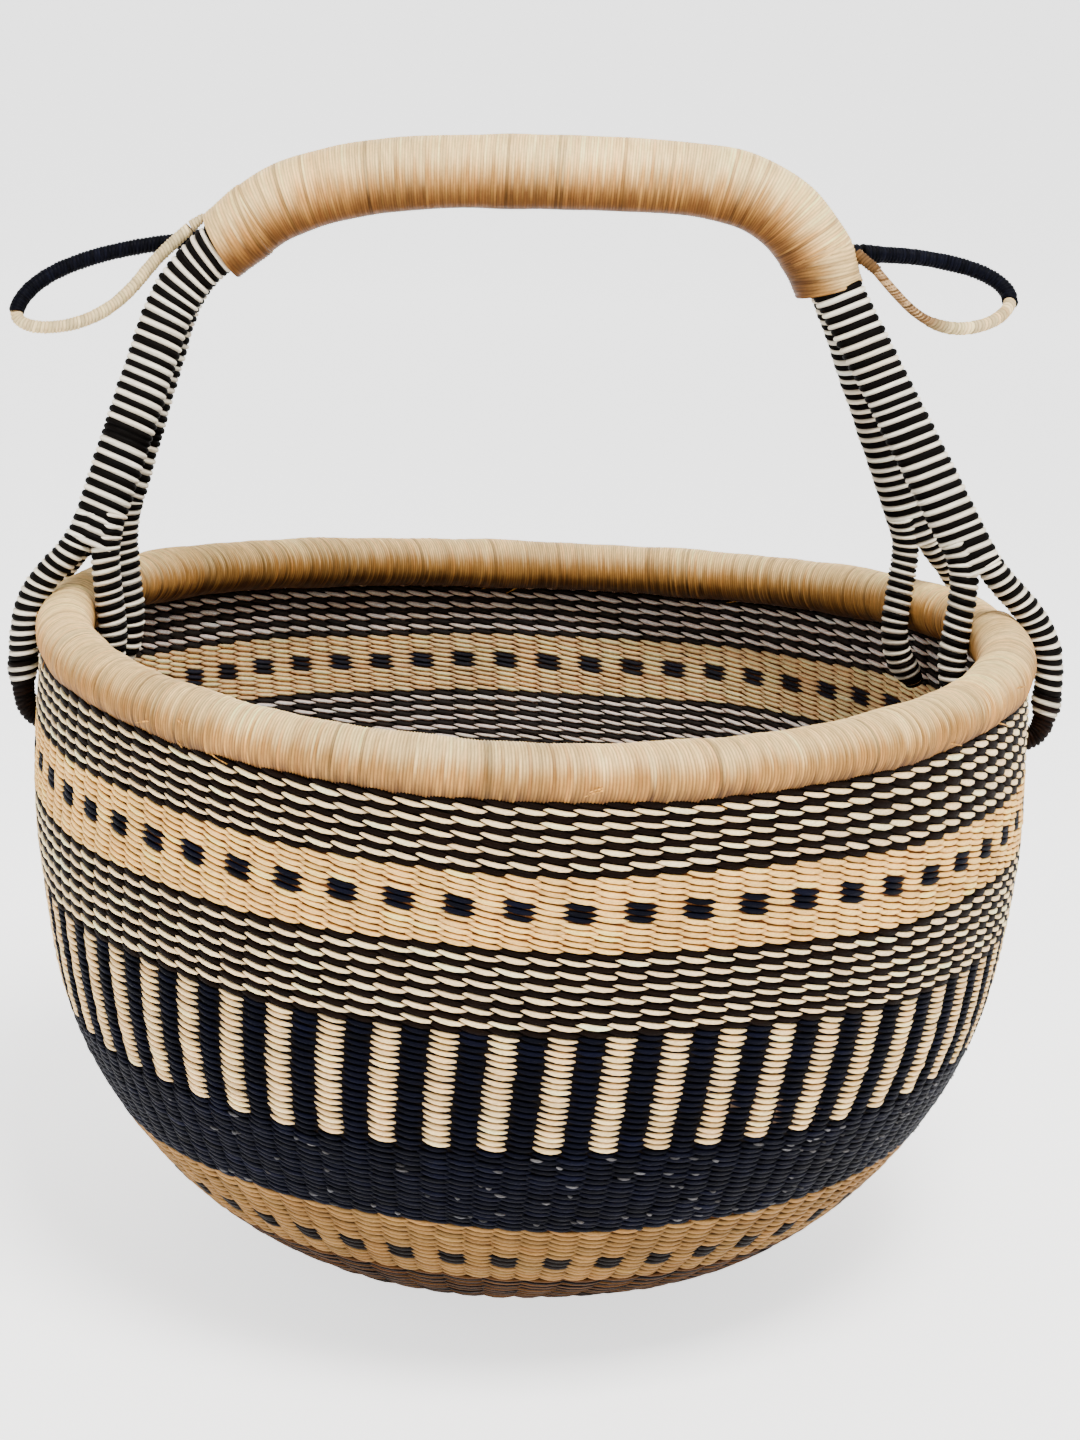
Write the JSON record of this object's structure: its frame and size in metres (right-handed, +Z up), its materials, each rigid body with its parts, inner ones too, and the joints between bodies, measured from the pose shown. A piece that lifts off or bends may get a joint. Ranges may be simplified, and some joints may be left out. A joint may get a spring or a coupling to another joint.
{
  "type": "woven market basket",
  "caption": "Round straw market basket with a wound rim, a high arch handle on forked striped legs that straddle the rim, and a small stiff cord loop at each end of the grip.",
  "frame": {"origin": "centre of the flat base's underside", "axes": "+Z up through the bowl's axis, +X along the handle to its right end, +Y to the back"},
  "size_m": [0.4406, 0.403, 0.4553],
  "materials": {
    "natural_straw": "dry twisted straw, matt with a faint sheen",
    "twist_straw": "cream and dark brown straw twisted together",
    "bar_straw": "straw and navy straw in upright bars",
    "navy_straw": "straw dyed navy, matt",
    "dark_straw": "straw dyed brown-black, matt",
    "striped_straw": "cream and black straw wound side by side",
    "wound_straw": "flat straw wound tight, satin",
    "core_straw": "rough straw"
  },
  "bodies": {
    "basket": {"back_inner_rod": "core_straw", "back_left_inner_binding": "dark_straw", "back_left_inner_strand_wrap": "striped_straw", "back_left_leg_wrap": "striped_straw", "back_left_outer_binding": "dark_straw", "back_left_outer_strand_wrap": "striped_straw", "back_outer_rod": "core_straw", "back_right_inner_binding": "dark_straw", "back_right_inner_strand_wrap": "striped_straw", "back_right_leg_wrap": "striped_straw", "back_right_outer_binding": "dark_straw", "back_right_outer_strand_wrap": "striped_straw", "bar_band": "bar_straw", "base_start": "natural_straw", "base_twist_band": "twist_straw", "front_inner_rod": "core_straw", "front_left_inner_binding": "dark_straw", "front_left_inner_strand_wrap": "striped_straw", "front_left_leg_wrap": "striped_straw", "front_left_outer_binding": "dark_straw", "front_left_outer_strand_wrap": "striped_straw", "front_outer_rod": "core_straw", "front_right_inner_binding": "dark_straw", "front_right_inner_strand_wrap": "striped_straw", "front_right_leg_wrap": "striped_straw", "front_right_outer_binding": "dark_straw", "front_right_outer_strand_wrap": "striped_straw", "grip_padding": "core_straw", "grip_wrap": "wound_straw", "left_grip_collar": "wound_straw", "lower_natural_band": "natural_straw", "mid_twist_band": "twist_straw", "navy_band": "navy_straw", "right_grip_collar": "wound_straw", "rim_core": "core_straw", "rim_wrap": "wound_straw", "stakes": "core_straw", "upper_natural_band": "natural_straw", "upper_twist_band": "twist_straw"},
    "left_loop": {"left_loop_core": "core_straw", "left_loop_navy_wrap": "navy_straw", "left_loop_natural_wrap": "natural_straw"},
    "right_loop": {"right_loop_core": "core_straw", "right_loop_navy_wrap": "navy_straw", "right_loop_natural_wrap": "natural_straw"}
  },
  "joints": [
    {"name": "left_loop_flex", "type": "hinge", "parent": "basket", "child": "left_loop", "pos_m": [-0.146, 0.034, 0.412], "axis": [0, 1, 0], "range_deg": [-1, 40], "stiffness_Nm_per_rad": 0.12},
    {"name": "right_loop_flex", "type": "hinge", "parent": "basket", "child": "right_loop", "pos_m": [0.1285, 0.0265, 0.409], "axis": [0, -1, 0], "range_deg": [-8, 40], "stiffness_Nm_per_rad": 0.12}
  ]
}
